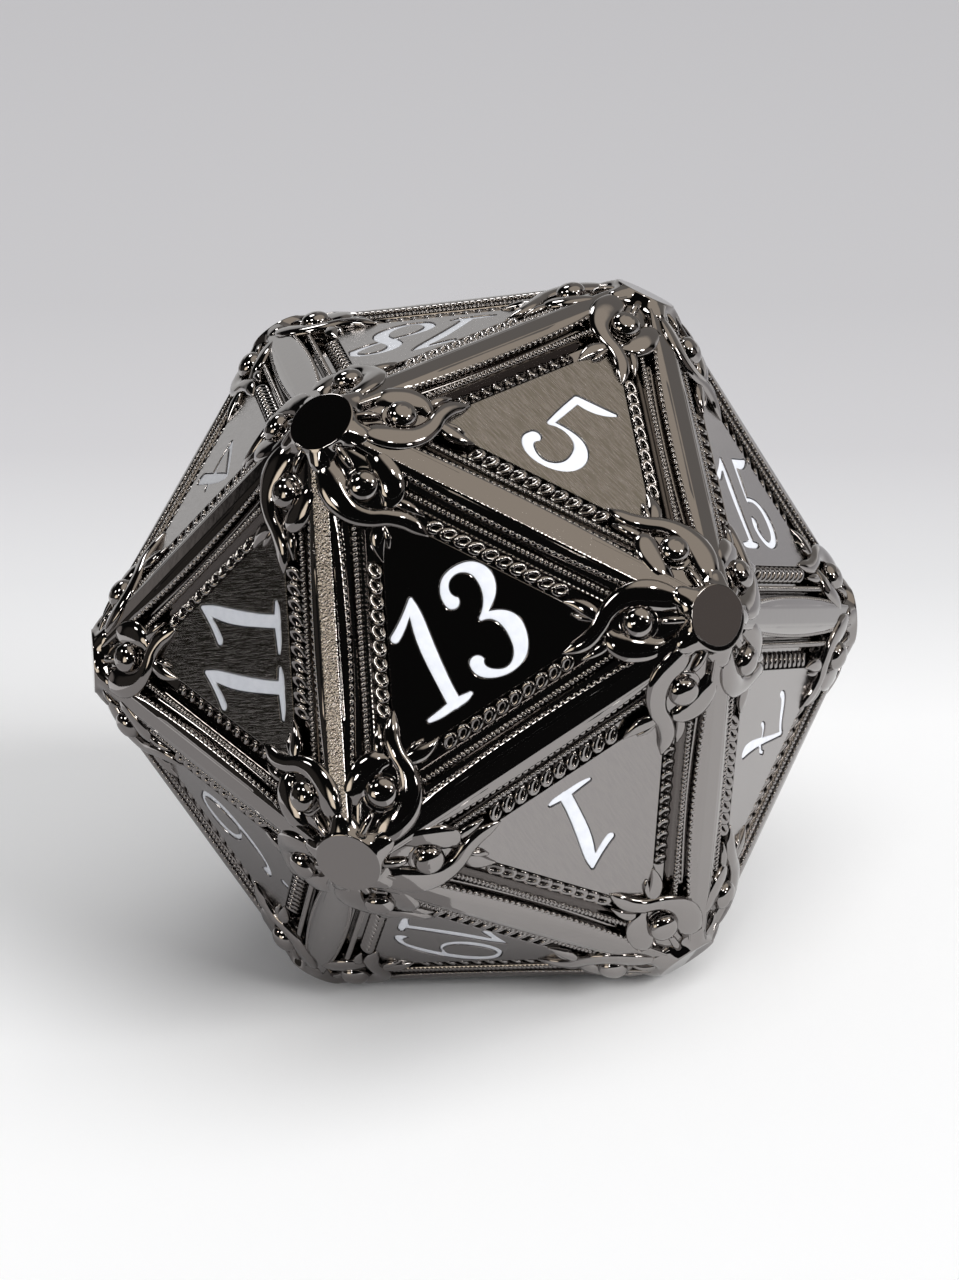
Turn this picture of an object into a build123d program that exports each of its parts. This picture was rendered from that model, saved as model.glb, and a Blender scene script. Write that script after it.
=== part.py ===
from build123d import *
import os
from math import atan, cos, pi, sin, sqrt, tan

# A jumbo twenty-sided die: one zinc-alloy casting, plated black nickel, whose twenty numerals are
# recesses filled with white enamel.
# Millimetres. +Z is up, and the origin is the point under the die's centre on the surface it rests
# on. The die lies on the three knobs of face 3, so face 18 is on top and level.

# ---- overall sizes -------------------------------------------------------------------------------
ACROSS_CAPS = 40.5       # over two opposite corner caps
CAP_DIAMETER = 3.2       # the flat disc that ends each corner
CAP_RISE = 0.25          # the disc's height above the crest strips that run up to it
CAP_CHAMFER = 0.10       # bevel round the disc

# ---- the bars along the thirty edges -------------------------------------------------------------
CREST_WIDTH = 0.85       # flat strip along the top of each edge
BAR_SIDE = 1.07          # from the middle of an edge to the foot of its bar, halfway along
BAR_BOW = 0.55           # how much narrower the bar gets from its middle to the corner
GROOVE_DEPTH = 0.62      # floor of the moulding, under the plane of the crests

# ---- the moulding between a bar and its number plate, from the bar inwards -------------------------
OUTER_GROOVE = 0.38      # gap from the bar's foot to the rope bead
ROPE_WIDTH = 0.28        # rope bead
ROPE_DROP = 0.07         # its top, under the plane of the crests
INNER_GROOVE = 0.38      # gap from the rope bead to the chain
CHAIN_WIDTH = 0.67       # chain
CHAIN_DROP = 0.27        # its top, under the plane of the crests
PLATE_GAP = 0.11         # gap from the chain to the number plate
PLATE_DROP = 0.19        # the plate's face, under the plane of the crests

# ---- the ornament in each corner of each face ------------------------------------------------------
KNOB_SETBACK = 4.40      # from the meeting point of the crest lines to the knob's axis
KNOB_DIAMETER = 1.62
KNOB_RISE = 0.665        # its tip above the plane of the crests: the die rests on three of these
KNOB_DOME = 0.265        # height of the domed head
KNOB_TIP = 0.60          # diameter of the flat on the tip
PAD_DIAMETER = 3.60      # round pad under the knob
PAD_RISE = 0.10          # its top above the plane of the crests
NECK_WIDTH = 1.50        # web from the pad to the corner cap
STRAP_WIDTH = 0.36       # raised crescent round the pad
STRAP_RISE = 0.32        # its top above the plane of the crests
LEAF_WIDTH = 0.62        # the two leaves that lie on the corners of the number plate
LEAF_RISE = 0.06         # their tops above the plane of the crests
LONG_LEAF = 2.45         # length of the leaf on the right of the knob
SHORT_LEAF = 1.90        # length of the leaf on the left

# ---- numerals ----------------------------------------------------------------------------------
PAIR_MARGIN = 0.55       # clear plate under and over a numeral of two digits
SINGLE_MARGIN = 0.80     # the same for one digit
SIDE_MARGIN = 0.08       # least clear plate beside a numeral
DIGIT_GAP = 0.07         # gap between two digits, in numeral heights
DOT_DIAMETER = 0.13      # dot under 6 and 9, in numeral heights
DOT_DROP = 0.17          # from the foot of the digit to the dot's middle, in numeral heights
ENAMEL_DEPTH = 0.40      # recess under the plate's face
ENAMEL_SINK = 0.05       # the enamel's surface, under the plate's face

# ---- worked out from the sizes above ---------------------------------------------------------------
GOLDEN = (1 + sqrt(5)) / 2
EDGE_LEAN = atan(1 / GOLDEN)           # between a corner's axis and the middle of an edge
FACE_LEAN = atan(1 / GOLDEN ** 2)      # between the middle of an edge and the middle of a face

cap_reach = ACROSS_CAPS / 2
cap_radius = CAP_DIAMETER / 2
crest_reach = (cap_reach - CAP_RISE) * cos(EDGE_LEAN) + cap_radius * sin(EDGE_LEAN)
face_reach = crest_reach * cos(FACE_LEAN) + CREST_WIDTH / 2 * sin(FACE_LEAN)
rest_reach = face_reach + KNOB_RISE
face_inradius = face_reach * tan(FACE_LEAN)

bar_foot = face_inradius - BAR_SIDE
rope_outer = bar_foot - OUTER_GROOVE
chain_outer = rope_outer - ROPE_WIDTH - INNER_GROOVE
plate_inradius = chain_outer - CHAIN_WIDTH - PLATE_GAP
knob_place = 2 * face_inradius - KNOB_SETBACK

OVERLAP = 0.20           # how far an added shape is sunk into what carries it
CLEAR = 2.0              # how far a cutting shape stands out of the surface

# The corners of the solid in four level rings of three: distance from the die's axis, height, and
# the direction of the first corner of the ring, all for corners at distance 1 from the centre.
HIGH = sqrt((5 + 2 * sqrt(5)) / 15)
LOW = sqrt((5 - 2 * sqrt(5)) / 15)
RINGS = {
    "DEA": (sqrt(1 - HIGH ** 2), HIGH, 0),
    "MFB": (sqrt(1 - LOW ** 2), LOW, 60),
    "GKC": (sqrt(1 - LOW ** 2), -LOW, 0),
    "JIH": (sqrt(1 - HIGH ** 2), -HIGH, 60),
}
CORNERS = {
    name: Vector(ring[0], 0, ring[1]).rotate(Axis.Z, ring[2] + 120 * turn)
    for names, ring in RINGS.items()
    for turn, name in enumerate(names)
}

# Each number and the three corners of its face. The numeral's head points at the first corner.
# Opposite faces add up to twenty-one.
FACES = {
    1: "HBC", 2: "MED", 3: "JIH", 4: "AEF", 5: "DAB", 6: "KIF", 7: "GHB", 8: "JKM", 9: "FCI", 10: "GJM",
    11: "FAC", 12: "DMG", 13: "ABC", 14: "KFE", 15: "DBG", 16: "JKI", 17: "HJG", 18: "ADE", 19: "HCI",
    20: "EMK",
}

# Each digit is a few pen strokes. A stroke is a row of points (x, y, width of the pen there), in
# numeral heights, from a baseline at y = 0.
NINE = [
    [(.345, .975, .05), (.17, .90, .10), (.09, .72, .14), (.15, .53, .10), (.31, .455, .05), (.53, .52, .05)],
    [(.345, .975, .05), (.50, .91, .11), (.59, .72, .145), (.57, .47, .14), (.46, .22, .11),
     (.31, .075, .07), (.13, .065, .13)],
]
DIGITS = {
    0: [
        [(.30, .97, .05), (.13, .77, .12), (.08, .45, .15), (.14, .16, .12), (.30, .03, .05)],
        [(.30, .03, .05), (.47, .23, .12), (.52, .55, .15), (.46, .84, .12), (.30, .97, .05)],
    ],
    1: [
        [(.455, .97, .05), (.43, .88, .10), (.375, .68, .14), (.32, .38, .135), (.285, .06, .13)],
        [(.455, .97, .05), (.36, .89, .07), (.26, .82, .085), (.165, .77, .09)],
        [(.03, .045, .05), (.14, .04, .08), (.285, .045, .09), (.38, .04, .08), (.44, .045, .05)],
    ],
    2: [
        [(.10, .75, .14), (.13, .88, .10), (.26, .965, .07), (.42, .93, .11), (.50, .78, .155),
         (.44, .59, .13), (.28, .35, .09), (.08, .09, .07)],
        [(.07, .06, .08), (.20, .075, .13), (.38, .05, .12), (.51, .08, .09), (.60, .20, .05)],
    ],
    3: [
        [(.195, .765, .14), (.185, .85, .10), (.25, .945, .08), (.36, .97, .075), (.485, .915, .12),
         (.535, .79, .155), (.485, .645, .12), (.38, .55, .065), (.32, .515, .05)],
        [(.32, .515, .05), (.435, .475, .10), (.51, .36, .165), (.50, .22, .16), (.425, .09, .12),
         (.29, .035, .07), (.17, .07, .085), (.09, .15, .12), (.09, .22, .15)],
    ],
    4: [
        [(.565, .97, .05), (.54, .84, .10), (.49, .58, .13), (.43, .30, .14), (.38, .07, .14)],
        [(.56, .96, .05), (.38, .78, .065), (.20, .59, .07), (.05, .43, .065)],
        [(.04, .42, .06), (.18, .415, .085), (.40, .425, .085), (.52, .44, .075), (.61, .49, .05)],
    ],
    5: [
        [(.28, .945, .10), (.42, .935, .125), (.55, .95, .10), (.65, .98, .05)],
        [(.275, .94, .09), (.22, .74, .085), (.17, .53, .07)],
        [(.175, .53, .07), (.34, .53, .065), (.49, .45, .12), (.55, .29, .165), (.48, .12, .13),
         (.31, .045, .08), (.14, .105, .11), (.075, .21, .13), (.105, .285, .14)],
    ],
    6: [[(.68 - x, 1.02 - y, width) for x, y, width in stroke] for stroke in NINE],
    7: [
        [(.04, .84, .06), (.11, .905, .09), (.25, .925, .105), (.40, .92, .09), (.58, .965, .06)],
        [(.58, .96, .06), (.47, .70, .07), (.35, .43, .10), (.26, .19, .14), (.235, .08, .15)],
        [(.13, .43, .05), (.25, .49, .065), (.40, .46, .065), (.53, .53, .05)],
    ],
    8: [
        [(.56, .80, .09), (.51, .92, .08), (.37, .96, .07), (.22, .87, .12), (.21, .70, .15), (.33, .55, .15),
         (.46, .41, .155), (.51, .25, .155), (.43, .09, .11), (.28, .035, .07)],
        [(.28, .035, .07), (.13, .09, .10), (.07, .22, .12), (.13, .36, .09), (.28, .48, .065),
         (.45, .62, .08), (.56, .80, .12)],
    ],
    9: NINE,
}


def face_plane(corners):
    """The plane of the crests on one face: x to the right, y to the first corner, z outwards."""
    points = [CORNERS[name] for name in corners]
    normal = (points[0] + points[1] + points[2]).normalized()
    up = points[0] - normal * points[0].dot(normal)
    return Plane(origin=normal * face_reach, x_dir=up.cross(normal), z_dir=normal)


def triangle(inradius):
    """An equal-sided triangle about the origin, one corner on +Y."""
    return RegularPolygon(radius=2 * inradius, side_count=3, rotation=90)


def prism(sketch, bottom, top):
    """The solid over a flat shape, between two heights over the plane of the crests."""
    return extrude(Pos(0, 0, bottom) * sketch, amount=top - bottom)


def bowed_triangle(inradius, bow):
    """A triangle whose sides bulge inwards to the inradius at their middles."""
    corner = Vector(0, 2 * (inradius + bow), 0)
    middle = Vector(0, -inradius, 0)
    sides = [
        ThreePointArc(
            corner.rotate(Axis.Z, 120 + turn), middle.rotate(Axis.Z, turn), corner.rotate(Axis.Z, 240 + turn)
        )
        for turn in (0, 120, 240)
    ]
    return make_face(sides)


def stroke_face(points, height):
    """The area that one pen stroke covers: two smooth sides and a round end at each end."""
    left = []
    right = []
    last = len(points) - 1
    for i, (x, y, width) in enumerate(points):
        before = points[max(i - 1, 0)]
        after = points[min(i + 1, last)]
        along = Vector(after[0] - before[0], after[1] - before[1]).normalized()
        across = Vector(-along.Y, along.X) * (width / 2)
        left.append((Vector(x, y) + across) * height)
        right.append((Vector(x, y) - across) * height)
        if i == 0:
            start = (Vector(x, y) - along * (width / 2)) * height
        if i == last:
            end = (Vector(x, y) + along * (width / 2)) * height
    outline = [
        Spline(*left),
        ThreePointArc(left[-1], end, right[-1]),
        Spline(*right[::-1]),
        ThreePointArc(right[0], start, left[0]),
    ]
    return make_face(outline)


def numeral_sketch(number, height):
    """A whole numeral of the given height, with its middle at the origin."""
    shape = Sketch()
    width = 0
    for character in str(number):
        glyph = Sketch() + [stroke_face(points, height) for points in DIGITS[int(character)]]
        shape += Pos(width - glyph.bounding_box().min.X, 0) * glyph
        width += glyph.bounding_box().size.X + DIGIT_GAP * height
    width -= DIGIT_GAP * height
    drop = 0
    if number in (6, 9):
        drop = DOT_DROP * height
        shape += Pos(width / 2, -drop) * Circle(DOT_DIAMETER / 2 * height)
    return Pos(-width / 2, (drop - height) / 2) * shape


def fitted_numeral(number):
    """The numeral as tall as its plate allows, kept clear of the plate's two upper sides."""
    unit = numeral_sketch(number, 1)
    margin = SINGLE_MARGIN if number < 10 else PAIR_MARGIN
    tallest = 2 * (plate_inradius - margin)
    reach = [(Rot(0, 0, -turn) * unit).bounding_box().max.X for turn in (30, 150)]
    widest = 2 * (plate_inradius - SIDE_MARGIN) / (reach[0] + reach[1])
    height = min(tallest, widest)
    shift = (reach[1] - reach[0]) * height / (2 * cos(pi / 6))
    return Pos(shift if height == widest else 0, 0) * numeral_sketch(number, height)


def crest_body():
    """The plain solid: twenty faces, a flat strip along each edge and a flat on each corner."""
    body = Box(2 * ACROSS_CAPS, 2 * ACROSS_CAPS, 2 * ACROSS_CAPS)
    planes = [face_plane(corners) for corners in FACES.values()]
    names = sorted(CORNERS)
    neighbour = 2 * sin(EDGE_LEAN)
    for i, first in enumerate(names):
        axis = CORNERS[first]
        planes.append(Plane(origin=axis * (cap_reach - CAP_RISE / 2), z_dir=axis))
        for second in names[i + 1:]:
            if (axis - CORNERS[second]).length < 1.01 * neighbour:
                middle = (axis + CORNERS[second]).normalized()
                planes.append(Plane(origin=middle * crest_reach, z_dir=middle))
    for plane in planes:
        body = split(body, bisect_by=plane, keep=Keep.BOTTOM)
    return body


def corner_cap():
    """The raised disc on one corner, standing on +Z at its real distance from the centre."""
    disc = Cylinder(cap_radius, CAP_RISE + 1, align=(Align.CENTER, Align.CENTER, Align.MAX))
    disc = chamfer(disc.edges().group_by(Axis.Z)[-1], CAP_CHAMFER)
    return Pos(0, 0, cap_reach) * disc


def moulding_cutter():
    """What is cut out of one face: the groove, less the rope bead, the chain bed and the plate."""
    rope_inner = rope_outer - ROPE_WIDTH
    chain_inner = chain_outer - CHAIN_WIDTH
    floor = -GROOVE_DEPTH
    rope = prism(triangle(rope_outer) - triangle(rope_inner), floor - OVERLAP, -ROPE_DROP)
    rope = fillet(rope.edges().group_by(Axis.Z)[-1], ROPE_WIDTH * 0.45)
    chain = prism(triangle(chain_outer) - triangle(chain_inner), floor - OVERLAP, -CHAIN_DROP)
    chain = chamfer(chain.edges().group_by(Axis.Z)[-1], CHAIN_WIDTH * 0.25)
    plate = prism(triangle(plate_inradius), floor - OVERLAP, -PLATE_DROP)
    cutter = prism(bowed_triangle(bar_foot, BAR_BOW), floor, CLEAR)
    return cutter - [rope, chain, plate]


def leaf(length, lean):
    """A pointed leaf that runs from the knob's pad to the plate, leaning to one side."""
    tip = Vector(0, -PAD_DIAMETER / 2 - length + LEAF_WIDTH, 0)
    root = Vector(0, -PAD_DIAMETER / 2 + LEAF_WIDTH, 0)
    middle = (tip + root) * 0.5
    sides = [
        ThreePointArc(root, middle + Vector(LEAF_WIDTH / 2, 0, 0), tip),
        ThreePointArc(tip, middle - Vector(LEAF_WIDTH / 2, 0, 0), root),
    ]
    return Rot(0, 0, lean) * prism(make_face(sides), -GROOVE_DEPTH - OVERLAP, LEAF_RISE)


def corner_ornament():
    """Pad, web, knob, crescent and leaves of one corner, about the knob's axis, +Y to the corner."""
    pad_radius = PAD_DIAMETER / 2
    knob_radius = KNOB_DIAMETER / 2
    tip_radius = KNOB_TIP / 2
    floor = -GROOVE_DEPTH - OVERLAP
    pad = prism(Circle(pad_radius), floor, PAD_RISE)
    to_cap = KNOB_SETBACK - cap_radius
    neck = prism(Pos(0, to_cap / 2) * Rectangle(NECK_WIDTH, to_cap), floor, PAD_RISE / 2)
    inner = Pos(0, STRAP_WIDTH) * Circle(pad_radius - STRAP_WIDTH / 2)
    strap = prism(Circle(pad_radius) - inner, floor, STRAP_RISE)
    shoulder = Vector(knob_radius, 0, KNOB_RISE - KNOB_DOME)
    edge = Vector(tip_radius, 0, KNOB_RISE)
    rounding = Vector(
        tip_radius + (knob_radius - tip_radius) * 0.72, 0, KNOB_RISE - KNOB_DOME * 0.30
    )
    profile = [
        Line((0, 0, 0), (knob_radius, 0, 0)),
        Line((knob_radius, 0, 0), shoulder),
        ThreePointArc(shoulder, rounding, edge),
        Line(edge, (0, 0, KNOB_RISE)),
        Line((0, 0, KNOB_RISE), (0, 0, 0)),
    ]
    knob = revolve(make_face(profile), axis=Axis.Z)
    return pad + [neck, strap, knob, leaf(LONG_LEAF, 20), leaf(SHORT_LEAF, -21)]


def casting_and_enamel():
    """The casting with its recesses, and the enamel that fills them, by number."""
    cutter = moulding_cutter()
    ornament = Pos(0, knob_place) * corner_ornament()
    body = crest_body()
    cutters = []
    ornaments = []
    recesses = []
    enamel = {}
    recess_floor = -PLATE_DROP - ENAMEL_DEPTH
    for number, corners in FACES.items():
        plane = face_plane(corners)
        cutters.append(plane * cutter)
        ornaments += [plane * Rot(0, 0, turn) * ornament for turn in (0, 120, 240)]
        numeral = fitted_numeral(number)
        recesses.append(plane * prism(numeral, recess_floor, CLEAR))
        enamel[number] = plane * prism(numeral, recess_floor, -PLATE_DROP - ENAMEL_SINK)
    caps = [Plane(origin=(0, 0, 0), z_dir=axis) * corner_cap() for axis in CORNERS.values()]
    body = body - cutters
    body = body + caps
    body = body + ornaments
    body = body - recesses
    return body, enamel


casting, enamel = casting_and_enamel()
lift = Pos(0, 0, rest_reach)
os.makedirs("parts", exist_ok=True)
export_step(lift * casting, "parts/die_casting.step")
for number, fill in enamel.items():
    export_step(lift * fill, f"parts/enamel_{number:02d}.step")
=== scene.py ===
import bmesh
import bpy
import numpy as np
from math import atan, cos, pi, radians, sin, sqrt, tan
from mathutils import Matrix, Vector


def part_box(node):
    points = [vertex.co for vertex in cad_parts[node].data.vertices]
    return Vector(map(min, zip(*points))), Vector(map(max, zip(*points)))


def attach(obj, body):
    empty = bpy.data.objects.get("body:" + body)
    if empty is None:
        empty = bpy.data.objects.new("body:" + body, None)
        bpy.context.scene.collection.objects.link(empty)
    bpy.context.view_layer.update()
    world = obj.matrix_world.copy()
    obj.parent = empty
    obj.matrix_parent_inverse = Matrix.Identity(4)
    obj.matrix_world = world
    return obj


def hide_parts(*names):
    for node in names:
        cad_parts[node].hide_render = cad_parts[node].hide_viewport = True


# The looks of a jumbo twenty-sided die: a zinc casting plated black nickel, its numerals enamelled.
# Shapes are worked out in millimetres on one face and then placed on all twenty.

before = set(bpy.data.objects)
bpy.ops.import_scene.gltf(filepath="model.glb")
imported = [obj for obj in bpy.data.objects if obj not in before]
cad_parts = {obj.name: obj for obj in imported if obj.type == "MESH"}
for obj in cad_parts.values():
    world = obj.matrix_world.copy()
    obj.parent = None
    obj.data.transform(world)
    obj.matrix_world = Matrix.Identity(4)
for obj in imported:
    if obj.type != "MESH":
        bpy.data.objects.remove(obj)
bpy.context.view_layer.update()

MM = 0.001
body_low, body_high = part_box("die_casting")
MIDDLE = np.array((body_low + body_high) / 2)

# ---- sizes of the casting, as in the solid model, in mm ------------------------------------------
# Drops, depths and rises are measured from the plane of a face's crests.
ACROSS_CAPS = 40.5      # over two opposite corner discs
CAP_DIAMETER = 3.2
CAP_RISE = 0.25         # the disc's height above the crest strips that run up to it
CREST_WIDTH = 0.85
BAR_SIDE = 1.07         # from the middle of an edge to the foot of its bar, halfway along
BAR_BOW = 0.55          # how much narrower the bar gets from its middle to the corner
GROOVE_DEPTH = 0.62
OUTER_GROOVE = 0.38
ROPE_WIDTH = 0.28
INNER_GROOVE = 0.38
CHAIN_WIDTH = 0.67
PLATE_GAP = 0.11
PLATE_DROP = 0.19
KNOB_SETBACK = 4.40     # from the meeting point of the crest lines to the knob's axis
KNOB_RISE = 0.665       # the die stands on three of these tips
ENAMEL_DEPTH = 0.40     # both from the plate's face
ENAMEL_SINK = 0.05

# ---- sizes of the finer relief, in mm ------------------------------------------------------------
CAP_SINK = 0.018        # lowers the discs a hair, so their rims stay inside the solid ones
CAP_ROOT = 1.4          # how far a disc goes down into the casting
FLANK_LEAST = 0.06      # width of a bar's flank where it runs out at the corner
FLANK_SWELL = 0.014     # how far the flank bulges
BAR_ROUNDING = 0.16     # radius over which the flank turns down into the groove
CREST_NICK = 0.10       # fine line along the edge of the crest strip
RIDGE_PLACE = 0.085     # from the rope bead's outer edge to the fine ridge beside it
RIDGE_TOP = 0.44
RIDGE_SHOULDER = 0.48
CHAIN_BED = 0.53
PAD_RADIUS = 1.62
KNOB_ROOT = 0.95        # how far a knob's collar goes down into the casting
PLATE_BACK = 0.80
PLATE_TIP = 0.12        # cut off each point of a number plate
PLATE_ROUNDING = 0.035
ENAMEL_ROUNDING = 0.07
ENAMEL_GAP = 0.03       # dark line between the enamel and the wall of its recess

# ---- worked out from the sizes above -------------------------------------------------------------
GOLDEN = (1 + sqrt(5)) / 2
EDGE_LEAN = atan(1 / GOLDEN)
FACE_LEAN = atan(1 / GOLDEN ** 2)
cap_reach = ACROSS_CAPS / 2
cap_radius = CAP_DIAMETER / 2
corner_reach = cap_reach - CAP_RISE
crest_reach = corner_reach * cos(EDGE_LEAN) + cap_radius * sin(EDGE_LEAN)
face_reach = crest_reach * cos(FACE_LEAN) + CREST_WIDTH / 2 * sin(FACE_LEAN)
face_inradius = face_reach * tan(FACE_LEAN)
bar_foot = face_inradius - BAR_SIDE
rope_outer = bar_foot - OUTER_GROOVE
rope_middle = rope_outer - ROPE_WIDTH / 2
chain_outer = rope_outer - ROPE_WIDTH - INNER_GROOVE
chain_middle = chain_outer - CHAIN_WIDTH / 2
plate_inradius = chain_outer - CHAIN_WIDTH - PLATE_GAP
knob_place = 2 * face_inradius - KNOB_SETBACK

# The twelve corners, as directions from the die's middle: four level rings of three, each ring
# given by its height and the bearing of its first corner.
HIGH = sqrt((5 + 2 * sqrt(5)) / 15)
LOW = sqrt((5 - 2 * sqrt(5)) / 15)
RINGS = {"DEA": (HIGH, 0), "MFB": (LOW, 60), "GKC": (-LOW, 0), "JIH": (-HIGH, 60)}
CORNERS = {
    name: np.array((
        sqrt(1 - height ** 2) * cos(radians(start + 120 * turn)),
        sqrt(1 - height ** 2) * sin(radians(start + 120 * turn)),
        height,
    ))
    for names, (height, start) in RINGS.items()
    for turn, name in enumerate(names)
}
# The corners of each numbered face. The numeral's head points to the first.
FACES = {
    1: "HBC", 2: "MED", 3: "JIH", 4: "AEF", 5: "DAB", 6: "KIF", 7: "GHB", 8: "JKM", 9: "FCI",
    10: "GJM", 11: "FAC", 12: "DMG", 13: "ABC", 14: "KFE", 15: "DBG", 16: "JKI", 17: "HJG",
    18: "ADE", 19: "HCI", 20: "EMK",
}
# How gritty the crest strip between two corners is. The others are smooth.
GRITTY_CRESTS = {
    frozenset("AC"): 1.0, frozenset("AB"): 0.25, frozenset("EF"): 0.8, frozenset("GJ"): 0.9,
    frozenset("MD"): 0.5, frozenset("HI"): 0.7,
}


def unit(vector):
    return vector / np.linalg.norm(vector)


def face_axes(number):
    """Rows: to the right, to the numeral's head, outwards."""
    first, second, third = (CORNERS[name] for name in FACES[number])
    outwards = unit(first + second + third)
    head = unit(first - outwards * first.dot(outwards))
    return np.array((np.cross(head, outwards), head, outwards))


def on_face(points, number):
    """From millimetres over the plane of the crests of one face to the row frame, in metres."""
    axes = face_axes(number)
    return (np.asarray(points, float) @ axes + axes[2] * face_reach) * MM + MIDDLE


def turned(points, angle):
    """Points of a face, turned about its axis."""
    c, s = cos(radians(angle)), sin(radians(angle))
    return np.asarray(points, float) @ np.array(((c, s, 0), (-s, c, 0), (0, 0, 1)))


# ---- mesh helpers --------------------------------------------------------------------------------
def set_out(name, data):
    """An object at the origin, in the scene."""
    made = bpy.data.objects.new(name, data)
    bpy.context.scene.collection.objects.link(made)
    return made


def plain_mesh(holder):
    """What an object's curves or modifiers come to, as a mesh of its own."""
    graph = bpy.context.evaluated_depsgraph_get()
    return bpy.data.meshes.new_from_object(holder.evaluated_get(graph))


def finish_mesh(name, mesh, material, sharp=None, merge=2e-7):
    """A piece with its doubles merged and its faces smooth and pointing outwards."""
    work = bmesh.new()
    work.from_mesh(mesh)
    bmesh.ops.remove_doubles(work, verts=work.verts, dist=merge)
    bmesh.ops.dissolve_degenerate(work, edges=work.edges, dist=merge)
    bmesh.ops.recalc_face_normals(work, faces=work.faces)
    work.to_mesh(mesh)
    work.free()
    mesh.materials.clear()
    mesh.materials.append(material)
    mesh.polygons.foreach_set("use_smooth", [True] * len(mesh.polygons))
    if sharp:
        mesh.set_sharp_from_angle(angle=radians(sharp))
    return set_out(name, mesh)


def mesh_of(name, points, faces):
    mesh = bpy.data.meshes.new(name)
    mesh.from_pydata([tuple(p) for p in points], [], [tuple(f) for f in faces])
    return mesh


def grid_faces(rows, columns, wrap=False):
    """Quads of a grid of points stored row by row."""
    across = columns if wrap else columns - 1
    return [
        (r * columns + c, r * columns + (c + 1) % columns,
         (r + 1) * columns + (c + 1) % columns, (r + 1) * columns + c)
        for r in range(rows - 1) for c in range(across)
    ]


def around(segments):
    return np.arange(segments) * 2 * pi / segments


def lathe(profile, segments):
    """A turned shape, from a row of (radius, height) from the top's middle to the bottom's."""
    points = [(r * cos(a), r * sin(a), z) for r, z in profile for a in around(segments)]
    return np.array(points), grid_faces(len(profile), segments, wrap=True)


def flowing(points, count):
    """A smooth run through rows of values, the first three of them a place, at even steps."""
    p = np.array(points, float)
    d = np.concatenate(([0], np.cumsum(np.linalg.norm(np.diff(p[:, :3], axis=0), axis=1))))
    slope = np.gradient(p, d, axis=0)
    t = np.linspace(0, d[-1], count)
    i = np.clip(np.searchsorted(d, t, side="right") - 1, 0, len(d) - 2)
    h = (d[i + 1] - d[i])[:, None]
    f = ((t - d[i]) / (d[i + 1] - d[i]))[:, None]
    return ((1 + 2 * f) * (1 - f) ** 2 * p[i] + f * (1 - f) ** 2 * h * slope[i]
            + f ** 2 * (3 - 2 * f) * p[i + 1] + f ** 2 * (f - 1) * h * slope[i + 1])


def strand(points, count, segments):
    """A rounded band: rows of (x, y, height of its middle, width, half thickness)."""
    run = flowing(points, count)
    along = np.gradient(run[:, :3], axis=0)
    along /= np.linalg.norm(along, axis=1)[:, None]
    side = np.cross((0, 0, 1), along)
    side /= np.linalg.norm(side, axis=1)[:, None]
    angles = around(segments)
    rows = [np.repeat(run[:1, :3], segments, axis=0)]
    for middle, s in zip(run, side):
        rows.append(middle[:3] + np.outer(np.cos(angles), s) * middle[3] / 2
                    + np.outer(np.sin(angles), (0, 0, 1)) * middle[4])
    rows.append(np.repeat(run[-1:, :3], segments, axis=0))
    return np.vstack(rows), grid_faces(count + 2, segments, wrap=True)


def on_all(shape, material, name, places, sharp=None):
    """One shape copied to every place; each place turns its points into row-frame points."""
    points, faces = shape
    faces = np.array(faces)
    copies = [place(points) for place in places]
    copy_faces = [faces + i * len(points) for i in range(len(places))]
    mesh = mesh_of(name, np.vstack(copies), np.vstack(copy_faces))
    return finish_mesh(name, mesh, material, sharp)


def at_corner(number, turn):
    """Places a shape made about a knob's axis, +Y to the die's corner."""
    axis = np.array((0, knob_place, 0))
    return lambda points: on_face(turned(points + axis, 120 * turn), number)


KNOB_PLACES = [at_corner(number, turn) for number in FACES for turn in range(3)]


# ---- materials -----------------------------------------------------------------------------------
PLATING = "#95918f"
RUBBED_PLATING = "#9a9694"      # on the crests of the grinding lines
ENAMEL_SHADE, ENAMEL_LIGHT = "#c6c9d0", "#dcdee3"
CLOUD_MM = 4                    # patches where the plating is a little duller
GRIT_MM, GRIT_DEPTH_MM = 0.11, 0.035
GRINDING_LINE_MM = (0.10, 1.1, 1)      # width and length of a line
ENAMEL_WAVE_MM, ENAMEL_WAVE_DEPTH_MM = 0.5, 0.02


def linear(code):
    """An sRGB hex colour as linear red, green, blue and alpha."""
    values = [int(code[i:i + 2], 16) / 255 for i in (1, 3, 5)]
    return [v / 12.92 if v <= 0.04045 else ((v + 0.055) / 1.055) ** 2.4 for v in values] + [1]


def add(tree, kind, values=None, links=None, **settings):
    """A node with its settings, its constant inputs and its links."""
    made = tree.nodes.new(kind)
    for key, value in settings.items():
        setattr(made, key, value)
    for key, value in (values or {}).items():
        made.inputs[key].default_value = value
    for key, source in (links or {}).items():
        tree.links.new(source, made.inputs[key])
    return made


def new_material(name):
    material = bpy.data.materials.new(name)
    material.use_nodes = True
    material.node_tree.nodes.clear()
    return material, material.node_tree


def noise(tree, size, detail, place):
    """Noise of a given size in metres."""
    return add(tree, "ShaderNodeTexNoise", {"Scale": 1 / size, "Detail": detail},
               {"Vector": place}).outputs["Fac"]


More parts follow.
